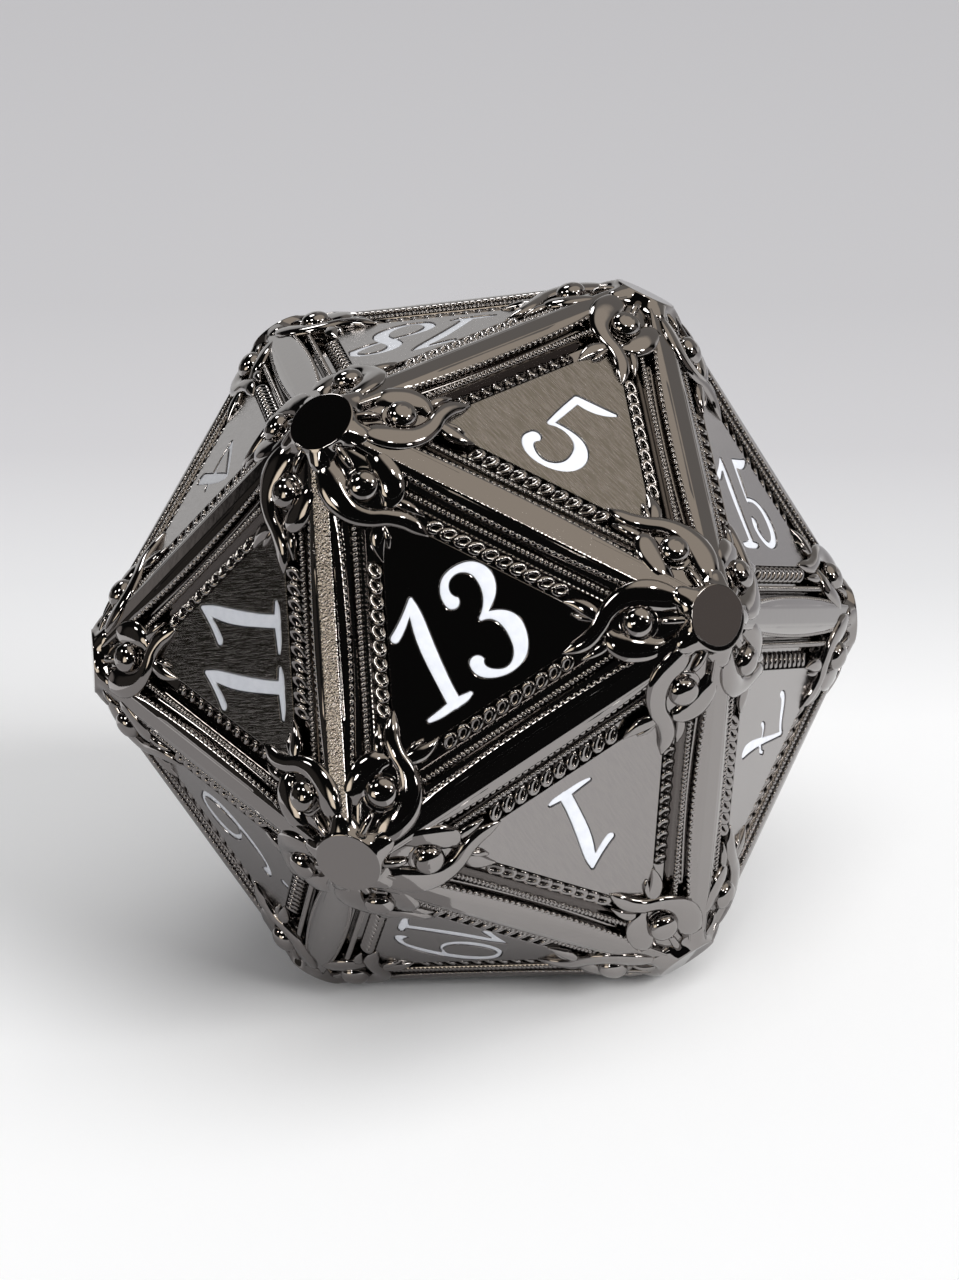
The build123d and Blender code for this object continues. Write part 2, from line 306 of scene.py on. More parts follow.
def black_nickel(name, roughness, peel_mm, peel_depth_mm, gritty=False):
    """Black nickel electroplate: a dark warm grey mirror that keeps the casting's orange peel."""
    material, tree = new_material(name)
    place = add(tree, "ShaderNodeTexCoord").outputs["Object"]
    bump = add(tree, "ShaderNodeBump", {"Strength": 1.0, "Distance": peel_depth_mm * MM},
               {"Height": noise(tree, peel_mm * MM, 3.0, place)})
    if gritty:
        grain = add(tree, "ShaderNodeAttribute", attribute_name="grain").outputs["Fac"]
        bump = add(tree, "ShaderNodeBump", {"Distance": GRIT_DEPTH_MM * MM},
                   {"Height": noise(tree, GRIT_MM * MM, 2.0, place), "Strength": grain,
                    "Normal": bump.outputs[0]})
    rough = add(tree, "ShaderNodeMapRange",
                {"From Min": 0.3, "From Max": 0.7,
                 "To Min": roughness * 0.8, "To Max": roughness * 1.3},
                {"Value": noise(tree, CLOUD_MM * MM, 2.0, place)})
    shader = add(tree, "ShaderNodeBsdfPrincipled",
                 {"Base Color": linear(PLATING), "Metallic": 1.0},
                 {"Roughness": rough.outputs[0], "Normal": bump.outputs[0]})
    add(tree, "ShaderNodeOutputMaterial", links={"Surface": shader.outputs[0]})
    return material


def ground_plate(name, roughness, depth_mm, valley, turn=0):
    """A number plate ground with fine parallel lines, whose valleys stay darker than the rest."""
    material, tree = new_material(name)
    place = add(tree, "ShaderNodeUVMap", uv_map="face_mm").outputs[0]
    line = add(tree, "ShaderNodeMapping",
               {"Rotation": (0, 0, radians(turn)), "Scale": GRINDING_LINE_MM},
               {"Vector": place}, vector_type="TEXTURE")
    lines = add(tree, "ShaderNodeTexNoise", {"Scale": 1.0, "Detail": 3.0, "Roughness": 0.65},
                {"Vector": line.outputs[0]}, noise_dimensions="2D").outputs["Fac"]
    bump = add(tree, "ShaderNodeBump", {"Strength": 1.0, "Distance": depth_mm * MM},
               {"Height": lines})
    rubbed = add(tree, "ShaderNodeMapRange", {"From Min": 0.36, "From Max": 0.60},
                 {"Value": lines}).outputs[0]
    rough = add(tree, "ShaderNodeMapRange",
                {"To Min": roughness * 0.75, "To Max": roughness * 1.35}, {"Value": rubbed})
    tone = add(tree, "ShaderNodeMix", {6: linear(valley), 7: linear(RUBBED_PLATING)},
               {0: rubbed}, data_type="RGBA")
    shader = add(tree, "ShaderNodeBsdfPrincipled", {"Metallic": 1.0},
                 {"Base Color": tone.outputs[2], "Roughness": rough.outputs[0],
                  "Normal": bump.outputs[0]})
    add(tree, "ShaderNodeOutputMaterial", links={"Surface": shader.outputs[0]})
    return material


def white_enamel():
    """Stoved white enamel, wiped into the recesses: glossy, with a faint unevenness."""
    material, tree = new_material("stoved_white_enamel")
    place = add(tree, "ShaderNodeTexCoord").outputs["Object"]
    wave = noise(tree, ENAMEL_WAVE_MM * MM, 2.0, place)
    bump = add(tree, "ShaderNodeBump", {"Strength": 1.0, "Distance": ENAMEL_WAVE_DEPTH_MM * MM},
               {"Height": wave})
    tone = add(tree, "ShaderNodeMix", {6: linear(ENAMEL_SHADE), 7: linear(ENAMEL_LIGHT)},
               {0: wave}, data_type="RGBA")
    shader = add(tree, "ShaderNodeBsdfPrincipled", {"Roughness": 0.22, "IOR": 1.5},
                 {"Base Color": tone.outputs[2], "Normal": bump.outputs[0]})
    add(tree, "ShaderNodeOutputMaterial", links={"Surface": shader.outputs[0]})
    return material


PLATED = black_nickel("bright_black_nickel_plate", 0.055, 0.6, 0.004, gritty=True)
PLATED_DETAIL = black_nickel("black_nickel_plate_on_fine_relief", 0.09, 0.18, 0.010)
MIRROR_PLATE = black_nickel("polished_black_nickel_plate", 0.03, 2.5, 0.002)
SATIN_PLATE = ground_plate("satin_black_nickel_plate", 0.16, 0.003, "#959190")
BRUSHED_PLATE = ground_plate("brushed_black_nickel_plate", 0.20, 0.013, "#72706a")
CROSS_BRUSHED_PLATE = ground_plate(
    "cross_brushed_black_nickel_plate", 0.22, 0.012, "#7f7c75", turn=65)
ENAMEL = white_enamel()
# Every other number plate is satin.
PLATE_FINISHES = {13: MIRROR_PLATE, 5: CROSS_BRUSHED_PLATE, 11: BRUSHED_PLATE,
                  10: BRUSHED_PLATE, 16: BRUSHED_PLATE}


# ---- the casting's skin --------------------------------------------------------------------------
def bar_profile(v):
    """(distance from the face's axis, height) across one side, from the crest's middle inwards.
    v runs from -1 to 1 along the side."""
    foot = bar_foot + BAR_BOW * v * v
    edge = np.array((crest_reach * sin(FACE_LEAN) - CREST_WIDTH / 2 * cos(FACE_LEAN), 0))
    strip = np.array((cos(FACE_LEAN), -sin(FACE_LEAN)))
    wide = max(edge[0] - foot, FLANK_LEAST)
    crown = min(BAR_ROUNDING, 0.45 * wide)
    nick = min(CREST_NICK, 0.3 * wide)
    points = [edge + strip * CREST_WIDTH / 2, edge + strip * 0.20, edge + strip * 0.09,
              edge + strip * 0.035 + (0, -0.001), edge + (-0.012, -0.008),
              edge + (-nick * 0.5, -0.001), edge + (-nick, 0)]
    for share in (0.8, 0.6, 0.42):
        points.append((foot + max(wide * share, crown), FLANK_SWELL * sin(pi * share)))
    for angle in (0, 25, 50, 75, 90):
        a = radians(angle)
        points.append((foot + crown * (1 - sin(a)), -crown * (1 - cos(a))))
    floor = -GROOVE_DEPTH
    points += [(foot - 0.01, -0.45), (foot - 0.04, -0.56), (foot - 0.10, -0.61),
               (foot - 0.17, floor)]
    ridge = rope_outer + RIDGE_PLACE
    points += [(ridge + 0.075, floor), (ridge + 0.05, -RIDGE_SHOULDER), (ridge, -RIDGE_TOP),
               (ridge - 0.05, -RIDGE_SHOULDER), (ridge - 0.075, floor)]
    for x, z in ((1, floor), (0.98, -0.30), (0.75, -0.19), (0.35, -0.14),
                 (-0.35, -0.14), (-0.75, -0.19), (-0.98, -0.30), (-1, floor)):
        points.append((rope_middle + x * ROPE_WIDTH / 2, z))
    points += [(rope_outer - ROPE_WIDTH - 0.06, floor), (chain_outer + 0.05, floor)]
    bed = chain_outer - CHAIN_WIDTH
    points += [(chain_outer, -0.58), (chain_outer - 0.05, -CHAIN_BED), (bed + 0.05, -CHAIN_BED),
               (bed, -0.58), (bed - 0.04, floor), (bed - 0.45, floor), (0, floor)]
    return np.array([tuple(p) for p in points])


def casting_skin():
    """The whole metal surface but its finest relief, as one closed mesh of sixty mitred sides."""
    columns = 31
    steps = np.linspace(-1, 1, columns)
    rows = [bar_profile(v) for v in steps]
    tile = np.array([(v * sqrt(3) * t, -t, z) for v, row in zip(steps, rows) for t, z in row])
    tile_faces = np.array(grid_faces(columns, len(rows[0])))
    points, faces, grain = [], [], []
    for number, names in FACES.items():
        for turn in range(3):
            middle = turned(((0, -face_inradius, 0),), 120 * turn)[0] @ face_axes(number)
            ends = sorted(names, key=lambda n: -CORNERS[n].dot(middle))[:2]
            strip = np.zeros(len(rows[0]))
            strip[:4] = GRITTY_CRESTS.get(frozenset(ends), 0.0)
            grain.append(np.tile(strip, columns))
            faces.append(tile_faces + len(points) * len(tile))
            points.append(on_face(turned(tile, 120 * turn), number))
    # What stands past the flat under a corner disc is cut back to that flat.
    off = (np.vstack(points) - MIDDLE) / MM
    corner_axes = np.array(list(CORNERS.values()))
    past = np.maximum(off @ corner_axes.T - corner_reach, 0)
    which = past.argmax(axis=1)
    off -= corner_axes[which] * past[np.arange(len(off)), which][:, None]
    mesh = mesh_of("casting_skin", off * MM + MIDDLE, np.vstack(faces))
    attribute = mesh.attributes.new("grain", "FLOAT", "POINT")
    attribute.data.foreach_set("value", np.concatenate(grain))
    return finish_mesh("casting_skin", mesh, PLATED, sharp=40)


def corner_caps():
    """The twelve flat discs: a bright lip, steep walls between the bars, a ramp onto each crest."""
    r = cap_radius
    disc = [(0, 0), (r - 0.30, 0), (r - 0.02, 0), (r + 0.025, -0.010)]
    ramp = disc + [
        (r + 0.06, -0.04), (r + 0.09, -0.07), (r + 0.16, -0.115), (r + 0.28, -0.19),
        (r + 0.44, -0.30), (r + 0.62, -0.44), (r + 0.84, -0.62), (r + 0.88, -0.80),
        (r + 0.5, -CAP_ROOT), (0, -CAP_ROOT)]
    wall = disc + [
        (r + 0.05, -0.045), (r + 0.06, -0.09), (r + 0.07, -0.16), (r + 0.08, -0.26),
        (r + 0.09, -0.38), (r + 0.11, -0.50), (r + 0.15, -0.66), (r + 0.20, -0.84),
        (r + 0.2, -CAP_ROOT), (0, -CAP_ROOT)]
    top = cap_reach - CAP_SINK
    segments = 80
    points = []
    for (ramp_out, ramp_height), (wall_out, wall_height) in zip(ramp, wall):
        for angle in around(segments):
            share = ((1 + cos(5 * angle)) / 2) ** 1.3
            out = wall_out + (ramp_out - wall_out) * share
            height = top + wall_height + (ramp_height - wall_height) * share
            points.append((out * cos(angle), out * sin(angle), height))
    places = []
    for axis in CORNERS.values():
        near = max((c for c in CORNERS.values() if c is not axis), key=axis.dot)
        side = unit(near - axis * near.dot(axis))
        axes = np.array((side, np.cross(axis, side), axis))
        places.append(lambda points, axes=axes: points @ axes * MM + MIDDLE)
    shape = np.array(points), grid_faces(len(ramp), segments, wrap=True)
    return on_all(shape, PLATED, "corner_caps", places, sharp=50)


# ---- ornament in the sixty corners of the faces --------------------------------------------------
def knobs():
    """A ball on a collar, a faint ring struck into its top. The die stands on three of them."""
    top = KNOB_RISE
    profile = [
        (0, top), (0.10, top - 0.004), (0.20, top - 0.018), (0.24, top - 0.032),
        (0.28, top - 0.036), (0.35, top - 0.052), (0.45, top - 0.090), (0.56, top - 0.15),
        (0.66, top - 0.24), (0.73, top - 0.35), (0.77, top - 0.47), (0.775, top - 0.58),
        (0.75, top - 0.68), (0.71, top - 0.74), (0.76, top - 0.765), (0.85, top - 0.75),
        (0.95, top - 0.765), (1.01, top - 0.82), (1.04, top - 0.92), (1.06, -0.50),
        (1.06, -KNOB_ROOT), (0, -KNOB_ROOT)]
    return on_all(lathe(profile, 36), PLATED, "corner_knobs", KNOB_PLACES, sharp=50)


def pads():
    """The drop-shaped swell that each knob stands on, drawn out to the corner disc."""
    heights_and_sizes = [(-0.85, 1.00), (-0.50, 1.00), (-0.36, 0.985), (-0.27, 0.95),
                         (-0.20, 0.89), (-0.145, 0.80), (-0.11, 0.68), (-0.095, 0.52)]
    segments = 56
    rings = []
    for height, size in heights_and_sizes:
        ring = []
        for angle in around(segments):
            up = max(sin(angle), 0)
            down = max(-sin(angle), 0)
            wide = PAD_RADIUS * (1 - 0.30 * up)
            long = PAD_RADIUS + 1.25 * up ** 2 + 0.35 * down ** 2
            x, y = wide * cos(angle) * size, long * sin(angle) * size
            ring.append((x, y, height - 0.20 * max(y, 0) / 2.8))
        rings.append(ring)
    bottom = [(0, 0, rings[0][0][2])] * segments
    top = [(0, 0.1, -0.09)] * segments
    points = np.array([p for ring in [bottom] + rings + [top] for p in ring])
    shape = points, grid_faces(len(rings) + 2, segments, wrap=True)
    return on_all(shape, PLATED, "knob_pads", KNOB_PLACES, sharp=60)


# Leaves: rows of (x, y, height of the middle, width, half thickness). x, y and width are shares of
# the die's reach, from the face's axis with the corner up; heights and thicknesses are in mm.
LONG_LEAF = [
    (-.026, .526, -.46, .026, .14), (-.042, .506, -.26, .056, .22), (-.058, .470, -.11, .074, .28),
    (-.065, .426, -.04, .074, .31), (-.055, .380, -.01, .060, .31), (-.028, .346, .02, .048, .30),
    (.010, .321, .02, .043, .30), (.038, .292, -.03, .043, .27), (.051, .264, -.10, .034, .21),
    (.062, .234, -.19, .004, .06)]
ROUND_LEAF = [
    (.048, .478, -.34, .026, .15), (.058, .452, -.16, .056, .24), (.061, .418, -.07, .068, .30),
    (.055, .384, -.04, .072, .32), (.038, .357, -.06, .058, .29), (.018, .343, -.13, .030, .20)]
SIDE_LEAF = [
    (.000, .338, -.14, .020, .16), (-.024, .316, -.08, .038, .25), (-.043, .292, -.09, .040, .24),
    (-.054, .268, -.14, .026, .18), (-.061, .242, -.20, .004, .06)]
PRONG = [
    (-.012, .336, -.16, .014, .14), (-.014, .308, -.10, .017, .19), (-.022, .280, -.12, .017, .18),
    (-.032, .262, -.20, .008, .08)]
THORN = [
    (.030, .356, -.16, .014, .12), (.052, .332, -.06, .028, .20), (.067, .306, -.08, .024, .19),
    (.080, .278, -.20, .005, .08)]
SPINE = [
    (0, .468, -.10, .014, .10), (0, .492, -.03, .019, .16), (0, .530, -.20, .019, .16),
    (0, .560, -.46, .010, .12)]


def scroll(name, path, count, segments):
    points = [(x * cap_reach, y * cap_reach - knob_place, z, w * cap_reach, t)
              for x, y, z, w, t in path]
    return on_all(strand(points, count, segments), PLATED, name, KNOB_PLACES)


def scrolls():
    """The leaves about each knob: a long one swept to one side, a round one and smaller ones."""
    return [
        scroll("scrolls_over", LONG_LEAF, 44, 12),
        scroll("scrolls_under", ROUND_LEAF, 44, 12),
        scroll("side_leaves", SIDE_LEAF, 28, 12),
        scroll("scroll_prongs", PRONG, 16, 10),
        scroll("scroll_thorns", THORN, 18, 10),
        scroll("neck_spines", SPINE, 12, 8),
    ]


# ---- rows of fine relief along the sixty sides ---------------------------------------------------
def lozenge(tree, sizes):
    """A small rounded grain of the given length, width and height."""
    ball = add(tree, "GeometryNodeMeshUVSphere", {"Segments": 8, "Rings": 5, "Radius": 0.5})
    size = add(tree, "ShaderNodeCombineXYZ",
               links={"X": sizes["Length"], "Y": sizes["Width"], "Z": sizes["Height"]})
    return add(tree, "GeometryNodeTransform",
               links={"Geometry": ball.outputs[0], "Scale": size.outputs[0]}).outputs[0]


def link(tree, sizes):
    """One link of a curb chain: an oval ring of round wire, as long and wide as given."""
    ring = add(tree, "GeometryNodeCurvePrimitiveCircle", {"Resolution": 12, "Radius": 0.5})
    size = add(tree, "ShaderNodeCombineXYZ", {"Z": 1.0},
               {"X": sizes["Length"], "Y": sizes["Width"]})
    oval = add(tree, "GeometryNodeTransform",
               links={"Geometry": ring.outputs[0], "Scale": size.outputs[0]})
    half = add(tree, "ShaderNodeMath", {1: 0.5}, {0: sizes["Height"]}, operation="MULTIPLY")
    wire = add(tree, "GeometryNodeCurvePrimitiveCircle", {"Resolution": 6},
               {"Radius": half.outputs[0]})
    ring = add(tree, "GeometryNodeCurveToMesh",
               links={"Curve": oval.outputs[0], "Profile Curve": wire.outputs[0]})
    return add(tree, "GeometryNodeTransform", {"Scale": (1, 1, 0.75)},
               {"Geometry": ring.outputs[0]}).outputs[0]


def row_tree(name, shape):
    """Lays a shape at an even pitch along each line, slanted, its top to the stored outward way."""
    tree = bpy.data.node_groups.new(name, "GeometryNodeTree")
    tree.interface.new_socket("Geometry", in_out="INPUT", socket_type="NodeSocketGeometry")
    for key in ("Pitch", "Length", "Width", "Height", "Slant", "Tilt"):
        tree.interface.new_socket(key, in_out="INPUT", socket_type="NodeSocketFloat")
    tree.interface.new_socket("Material", in_out="INPUT", socket_type="NodeSocketMaterial")
    tree.interface.new_socket("Geometry", in_out="OUTPUT", socket_type="NodeSocketGeometry")
    given = add(tree, "NodeGroupInput").outputs
    made = shape(tree, given)
    lean = add(tree, "ShaderNodeCombineXYZ", {"X": 0.0}, {"Y": given["Tilt"], "Z": given["Slant"]})
    slanted = add(tree, "GeometryNodeTransform",
                  links={"Geometry": made, "Rotation": lean.outputs[0]})
    line = add(tree, "GeometryNodeMeshToCurve", links={"Mesh": given["Geometry"]})
    stops = add(tree, "GeometryNodeResampleCurve",
                links={"Curve": line.outputs[0], "Length": given["Pitch"]}, mode="LENGTH")
    outwards = add(tree, "GeometryNodeInputNamedAttribute", {"Name": "outwards"},
                   data_type="FLOAT_VECTOR")
    along = add(tree, "GeometryNodeInputTangent")
    turn = add(tree, "FunctionNodeAxesToRotation",
               links={0: outwards.outputs[0], 1: along.outputs[0]},
               primary_axis="Z", secondary_axis="X")
    laid = add(tree, "GeometryNodeInstanceOnPoints",
               links={"Points": stops.outputs[0], "Instance": slanted.outputs[0],
                      "Rotation": turn.outputs[0]})
    real = add(tree, "GeometryNodeRealizeInstances", links={0: laid.outputs[0]})
    painted = add(tree, "GeometryNodeSetMaterial",
                  links={"Geometry": real.outputs[0], "Material": given["Material"]})
    add(tree, "NodeGroupOutput", links={0: painted.outputs[0]})
    return tree


def row_of(name, tree, lines, **sizes):
    """Runs a row tree along sixty lines and keeps a plain mesh. Sizes in mm, angles in degrees."""
    points, edges, outwards = [], [], []
    for number in FACES:
        for turn in range(3):
            start = len(points)
            placed = on_face(turned(lines, 120 * turn), number)
            points += [tuple(p) for p in placed]
            edges += [(start + i, start + i + 1) for i in range(len(placed) - 1)]
            outwards += [face_axes(number)[2]] * len(placed)
    mesh = bpy.data.meshes.new(name + "_lines")
    mesh.from_pydata(points, edges, [])
    attribute = mesh.attributes.new("outwards", "FLOAT_VECTOR", "POINT")
    attribute.data.foreach_set("vector", np.concatenate(outwards))
    base = set_out(name + "_lines", mesh)
    modifier = base.modifiers.new("row", "NODES")
    modifier.node_group = tree
    for item in tree.interface.items_tree:
        if item.in_out == "INPUT" and item.name in sizes:
            size = sizes[item.name]
            angle = item.name in ("Slant", "Tilt")
            modifier[item.identifier] = radians(size) if angle else size * MM
        if item.in_out == "INPUT" and item.name == "Material":
            modifier[item.identifier] = PLATED_DETAIL
    made = plain_mesh(base)
    base.modifiers.clear()
    bpy.data.objects.remove(base)
    return finish_mesh(name, made, PLATED_DETAIL)


def side_line(away, height, reach, bow=0, count=2, shift=0):
    """Points along one side of a face, at a distance from its axis."""
    longest = sqrt(3) * away
    return np.array([(s * reach + shift, -(away + bow * (s * reach / longest) ** 2), height)
                     for s in np.linspace(-1, 1, count)])


def rows():
    """The curb chain, the twisted rope bead and the teeth along the foot of each bar."""
    grains = row_tree("grains_along_a_line", lozenge)
    links = row_tree("curb_chain_along_a_line", link)
    chain_line = side_line(chain_middle, height=-0.40, reach=3.35, shift=0.05)
    rope_line = side_line(rope_middle, height=-0.185, reach=6.1)
    tooth_line = side_line(bar_foot + 0.04, height=-0.10, reach=6.6, bow=BAR_BOW, count=25)
    return [
        row_of("curb_chains", links, chain_line,
               Pitch=0.74, Length=0.74, Width=0.44, Height=0.35, Slant=30, Tilt=-26),
        row_of("rope_beads", grains, rope_line,
               Pitch=0.245, Length=0.255, Width=0.36, Height=0.24, Slant=30, Tilt=0),
        row_of("bar_teeth", grains, tooth_line,
               Pitch=0.36, Length=0.38, Width=0.30, Height=0.22, Slant=0, Tilt=0),
    ]


# ---- number plates and enamel --------------------------------------------------------------------
def numeral_outlines(number):
    """Closed outlines of one numeral, in mm on its face, read from the solid model's enamel."""
    axes = face_axes(number)
    work = bmesh.new()
    work.from_mesh(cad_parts[f"enamel_{number:02d}"].data)
    bmesh.ops.remove_doubles(work, verts=work.verts, dist=1e-7)
    top = -PLATE_DROP - ENAMEL_SINK
    place = {v: (np.array(v.co) - MIDDLE) / MM @ axes.T - (0, 0, face_reach) for v in work.verts}
    upper = {f for f in work.faces if all(abs(place[v][2] - top) < 0.01 for v in f.verts)}
    rim = [e for e in work.edges if sum(f in upper for f in e.link_faces) == 1]
    following = {}
    for e in rim:
        for v in e.verts:
            following.setdefault(v, []).append(e)
    outlines, used = [], set()
    for first in rim:
        if first in used:
            continue
        loop, edge, v = [], first, first.verts[0]
        while edge not in used:
            used.add(edge)
            loop.append(place[v][:2])
            v = edge.other_vert(v)
            edge = next((e for e in following[v] if e not in used), edge)
        outlines.append(np.array(loop))
    work.free()
    return outlines


def flat_solid(name, outlines, top, bottom, rounding, steps, gap=0):
    """A flat solid with holes and rounded rims, from outlines in mm, a gap inside them."""
    curve = bpy.data.curves.new(name, "CURVE")
    curve.dimensions = "2D"
    curve.fill_mode = "BOTH"
    curve.extrude = (top - bottom) / 2 - rounding
    curve.bevel_depth = rounding
    curve.bevel_resolution = steps
    curve.offset = -rounding - gap
    for outline in outlines:
        spline = curve.splines.new("POLY")
        spline.points.add(len(outline) - 1)
        spline.points.foreach_set("co", np.column_stack(
            (outline, np.zeros(len(outline)), np.ones(len(outline)))).ravel())
        spline.use_cyclic_u = True
    holder = set_out(name, curve)
    mesh = plain_mesh(holder)
    bpy.data.objects.remove(holder)
    points = np.zeros(len(mesh.vertices) * 3)
    mesh.vertices.foreach_get("co", points)
    points = points.reshape(-1, 3) + (0, 0, (top + bottom) / 2)
    return mesh, points


def placed_flat(name, flat, number, material, sharp=None):
    """Puts a flat solid on its face, with its own millimetres as its UV map."""
    mesh, points = flat
    mesh.vertices.foreach_set("co", on_face(points, number).ravel())
    mesh.update()
    piece = finish_mesh(name, mesh, material, sharp)
    layer = piece.data.uv_layers.new(name="face_mm")
    axes = face_axes(number)
    corners = np.zeros(len(piece.data.loops), int)
    piece.data.loops.foreach_get("vertex_index", corners)
    where = np.zeros(len(piece.data.vertices) * 3)
    piece.data.vertices.foreach_get("co", where)
    spread = ((where.reshape(-1, 3) - MIDDLE) / MM @ axes.T)[corners][:, :2]
    layer.data.foreach_set("uv", spread.ravel())
    return piece


def plates_and_enamel():
    """The twenty number plates, pierced for their numerals, and the enamel in them."""
    tips = [turned(((0, 2 * plate_inradius, 0),), 120 * turn)[0][:2] for turn in range(3)]
    outline = np.array([tip + unit(other - tip) * PLATE_TIP
                        for i, tip in enumerate(tips)
                        for other in (tips[i - 1], tips[(i + 1) % 3])])
    enamel_top = -PLATE_DROP - ENAMEL_SINK
    made = {}
    for number in FACES:
        numeral = numeral_outlines(number)
        plate = flat_solid(f"plate_{number:02d}", [outline] + numeral,
                           -PLATE_DROP, -PLATE_BACK, PLATE_ROUNDING, steps=2)
        plate = placed_flat(f"number_plate_{number:02d}", plate, number,
                            PLATE_FINISHES.get(number, SATIN_PLATE), sharp=8)
        fill = flat_solid(f"fill_{number:02d}", numeral, enamel_top,
                          -PLATE_DROP - ENAMEL_DEPTH, ENAMEL_ROUNDING, steps=5, gap=ENAMEL_GAP)
        fill = placed_flat(f"enamel_fill_{number:02d}", fill, number, ENAMEL)
        made[number] = (plate, fill)
    return made


skin = casting_skin()
metal = [skin, corner_caps(), knobs(), pads()] + scrolls() + rows()
numbers = plates_and_enamel()

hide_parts("die_casting")
for piece in metal:
    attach(piece, "root")
for number, (plate, fill) in numbers.items():
    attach(plate, "root")
    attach(fill, "root")
    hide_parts(f"enamel_{number:02d}")


# ---- camera --------------------------------------------------------------------------------------
# From the die's middle, as shares of the reach of its corner discs.
CAMERA_PLACE = (-.74034526, -8.14122338, 2.69513668)
CAMERA_RIGHT = (.96765841, -.15464249, -.19930607)
CAMERA_UP = (.23697755, .28639729, .92834166)
FOCAL_LENGTH_MM = 92.79
SENSOR_MM = 36


def make_camera():
    data = bpy.data.cameras.new("camera")
    data.sensor_fit = "AUTO"
    data.sensor_width = SENSOR_MM
    data.lens = FOCAL_LENGTH_MM
    data.clip_start, data.clip_end = 0.01, 10
    camera = set_out("camera", data)
    place = np.array(CAMERA_PLACE) * cap_reach * MM + MIDDLE
    turn = np.column_stack((CAMERA_RIGHT, CAMERA_UP, np.cross(CAMERA_RIGHT, CAMERA_UP)))
    camera.matrix_world = Matrix.Translation(Vector(place)) @ Matrix(turn.tolist()).to_4x4()
    bpy.context.scene.camera = camera


make_camera()


# ---- floor ---------------------------------------------------------------------------------------
# Painted shade: the tone of the paper depends on the bearing from one point on it, the centre of
# this painted shading, in place of the light falling off over a lit sweep.
PAINTED_SHADE_CENTRE = (0.3347, -0.2207, 0)
PAINTED_SHADE_FROM, PAINTED_SHADE_TO = 30, 65      # degrees
# Painted shade: the far tone and the tones between are greys painted into the paper for light
# falling off, not its own colour.
NEAR_TONE, FAR_PAINTED_SHADE = "#ffffff", "#c3c2c4"
PAINTED_SHADE_STEPS = ((0.22, "#ffffff"), (0.32, "#e7e7e8"), (0.43, "#d4d3d5"), (0.58, "#cac9cb"))


def plane(name, low, high, height):
    corners = [(low[0], low[1], height), (high[0], low[1], height),
               (high[0], high[1], height), (low[0], high[1], height)]
    made = set_out(name, mesh_of(name, corners, [(0, 1, 2, 3)]))
    return made


def pale_floor():
    """Matt paper, white round the die, with painted shade making it pale grey behind it, as a lit
    sweep looks.
    """
    material, tree = new_material("pale_paper_with_painted_shade")
    place = add(tree, "ShaderNodeTexCoord").outputs["Object"]
    offset = add(tree, "ShaderNodeMapping", {"Location": PAINTED_SHADE_CENTRE},
                 {"Vector": place}, vector_type="TEXTURE")
    parts = add(tree, "ShaderNodeSeparateXYZ", links={0: offset.outputs[0]})
    left = add(tree, "ShaderNodeMath", {1: -1.0}, {0: parts.outputs["X"]}, operation="MULTIPLY")
    angle = add(tree, "ShaderNodeMath", links={0: parts.outputs["Y"], 1: left.outputs[0]},
                operation="ARCTAN2")
    ramp = add(tree, "ShaderNodeMapRange",
               {"From Min": radians(PAINTED_SHADE_FROM), "From Max": radians(PAINTED_SHADE_TO)},
               {"Value": angle.outputs[0]})
    # Painted shade: this ramp greys the paper's colour by bearing, white near the die and grey far
    # from it.
    tone = add(tree, "ShaderNodeValToRGB", links={"Fac": ramp.outputs[0]})
    stops = tone.color_ramp.elements
    stops[0].color = linear(NEAR_TONE)
    stops[1].color = linear(FAR_PAINTED_SHADE)
    for share, code in PAINTED_SHADE_STEPS:
        stops.new(share).color = linear(code)
    shader = add(tree, "ShaderNodeBsdfPrincipled", {"Roughness": 0.9, "Specular IOR Level": 0.0},
                 {"Base Color": tone.outputs[0]})
    add(tree, "ShaderNodeOutputMaterial", links={"Surface": shader.outputs[0]})
    near = plane("floor", (-0.62, -0.62), (0.30, 0.9), 0)
    right = plane("floor_right", (0.30, -1.3), (1.3, 1.3), 0)
    back = plane("floor_back", (-1.3, 0.9), (0.30, 1.3), 0)
    for floor in (near, right, back):
        floor.data.materials.append(material)
    # The metal sees the panels below past the near sheet, not more paper.
    right.visible_glossy = back.visible_glossy = False


pale_floor()


# ---- light ---------------------------------------------------------------------------------------
# Soft panels round the table, as the polished metal sees them: direction, inner and outer half
# angle in degrees, and brightness by colour.
PANELS = [
    ((0.0, 1.0, 0.05), 24, 34, (0.62, 0.615, 0.61)),
    ((0.80, 0.62, -0.05), 18, 30, (1.00, 0.99, 0.98)),
    ((0.62, 0.52, 0.58), 26, 40, (0.30, 0.285, 0.27)),
    ((0.48, -0.22, 0.85), 30, 40, (0.78, 0.70, 0.60)),
    ((0.92, -0.39, -0.02), 16, 26, (0.20, 0.178, 0.168)),
    ((-0.97, 0.19, 0.18), 14, 22, (0.05, 0.046, 0.042)),
    ((-0.84, -0.53, 0.12), 11, 18, (2.1, 1.86, 1.52)),
    ((-0.69, 0.70, 0.08), 9, 12.5, (0.29, 0.27, 0.26)),
]
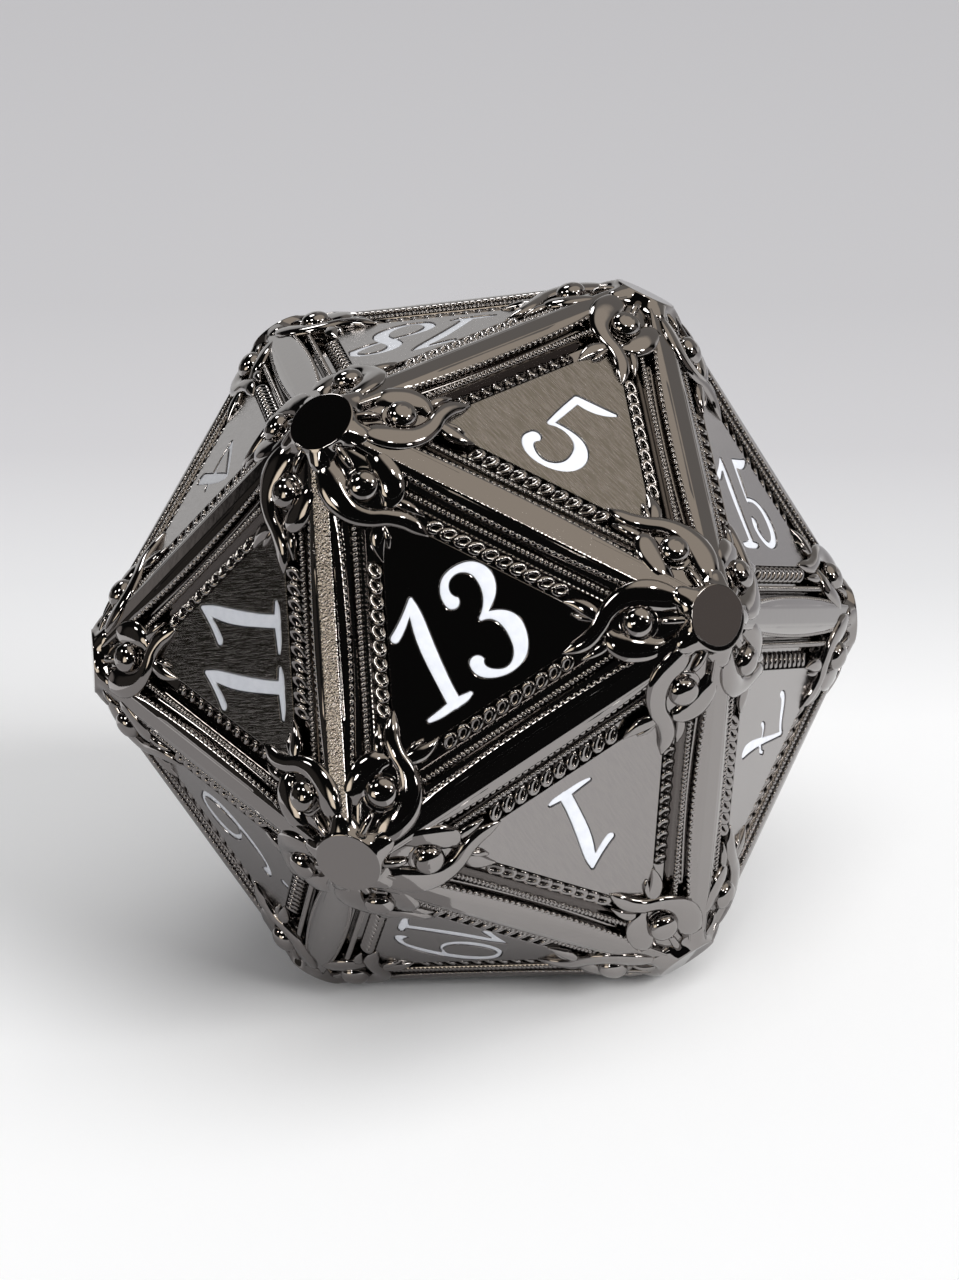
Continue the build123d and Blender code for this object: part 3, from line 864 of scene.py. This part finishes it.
# Small lamps, for the sparkle on the knobs, leaves and rows.
LAMPS = [
    ((-0.42, -0.35, 0.84), 5, 8, (14, 13.8, 13.4)),
    ((0.80, -0.45, 0.42), 4, 7, (13, 12.8, 12.4)),
    ((-0.10, 0.55, 0.83), 6, 9, (12, 12, 12)),
    ((-0.75, 0.10, 0.62), 3, 5, (16, 15.7, 15.2)),
    ((0.25, -0.72, 0.65), 2, 4, (26, 25.5, 25)),
    ((-0.55, -0.78, 0.30), 2, 4, (26, 25.5, 25)),
    ((0.62, -0.74, 0.22), 2, 4, (24, 23.5, 23)),
]
ROOM = (0.008, 0.008, 0.008, 1)            # between the panels
SOFT_LIGHT = (0.29, 0.29, 0.295, 1)        # from all round, on the paper and the enamel
BACKDROP = "#c8c7c9"
# The light on the paper and the enamel: bearing and height of the source in degrees, strength, and
# how wide the source is in degrees.
SOURCES = (("key", -57, 21, 0.98, 24), ("top", -50, 62, 0.40, 60))
# Cards on the paper that only the metal sees: the dark room past the paper's front edge, and the
# shade beside and under the die.
DARK_CARD = (0.01, 0.01, 0.01, 1)
GREY_CARD = (0.53, 0.52, 0.52, 1)
CARD_HEIGHT = 0.0003
CARDS = (
    ("dark_card", "dark_room", (-0.6, -0.6), (0.27, -0.048)),
    ("grey_card", "grey_card", (-0.6, -0.048), (-0.006, 0.045)),
    ("grey_card_under", "grey_card", (-0.006, -0.009), (0.012, 0.045)),
)


def reflected_room(tree):
    """The panels and lamps in a dark room, by direction."""
    way = add(tree, "ShaderNodeTexCoord").outputs["Generated"]
    colour = None
    for direction, inner, outer, bright in PANELS + LAMPS:
        facing = add(tree, "ShaderNodeVectorMath", {1: tuple(unit(np.array(direction)))},
                     {0: way}, operation="DOT_PRODUCT")
        mask = add(tree, "ShaderNodeMapRange",
                   {"From Min": cos(radians(outer)), "From Max": cos(radians(inner))},
                   {"Value": facing.outputs["Value"]}, interpolation_type="SMOOTHSTEP")
        mixed = add(tree, "ShaderNodeMix", {6: ROOM, 7: (*bright, 1)},
                    {0: mask.outputs[0]}, data_type="RGBA")
        if colour:
            tree.links.new(colour, mixed.inputs[6])
        colour = mixed.outputs[2]
    return colour


def studio():
    """The metal sees panels and lamps, and everything else has soft light and two sources."""
    world = bpy.data.worlds.new("studio")
    bpy.context.scene.world = world
    world.use_nodes = True
    tree = world.node_tree
    tree.nodes.clear()
    path = add(tree, "ShaderNodeLightPath").outputs
    panels = add(tree, "ShaderNodeBackground", links={"Color": reflected_room(tree)})
    soft = add(tree, "ShaderNodeBackground", {"Color": SOFT_LIGHT})
    backdrop = add(tree, "ShaderNodeBackground", {"Color": linear(BACKDROP)})
    lit = add(tree, "ShaderNodeMixShader",
              links={0: path["Is Glossy Ray"], 1: soft.outputs[0], 2: panels.outputs[0]})
    seen = add(tree, "ShaderNodeMixShader",
               links={0: path["Is Camera Ray"], 1: lit.outputs[0], 2: backdrop.outputs[0]})
    add(tree, "ShaderNodeOutputWorld", links={"Surface": seen.outputs[0]})

    for name, bearing, up, strength, spread in SOURCES:
        data = bpy.data.lights.new(name, "SUN")
        data.angle = radians(spread)
        data.energy = strength * pi
        lamp = set_out(name, data)
        level = cos(radians(up))
        towards = Vector((cos(radians(bearing)) * level, sin(radians(bearing)) * level,
                          sin(radians(up))))
        lamp.rotation_euler = towards.to_track_quat("Z", "Y").to_euler()
        lamp.visible_glossy = False


def cards():
    materials = {}
    for name, colour in (("dark_room", DARK_CARD), ("grey_card", GREY_CARD)):
        materials[name], tree = new_material(name)
        shader = add(tree, "ShaderNodeBsdfDiffuse", {"Color": colour})
        add(tree, "ShaderNodeOutputMaterial", links={"Surface": shader.outputs[0]})
    for name, material, low, high in CARDS:
        card = plane(name, low, high, CARD_HEIGHT)
        card.data.materials.append(materials[material])
        card.visible_camera = False
        card.visible_diffuse = False
        card.visible_shadow = False


studio()
cards()
bpy.context.scene.view_settings.view_transform = "Standard"
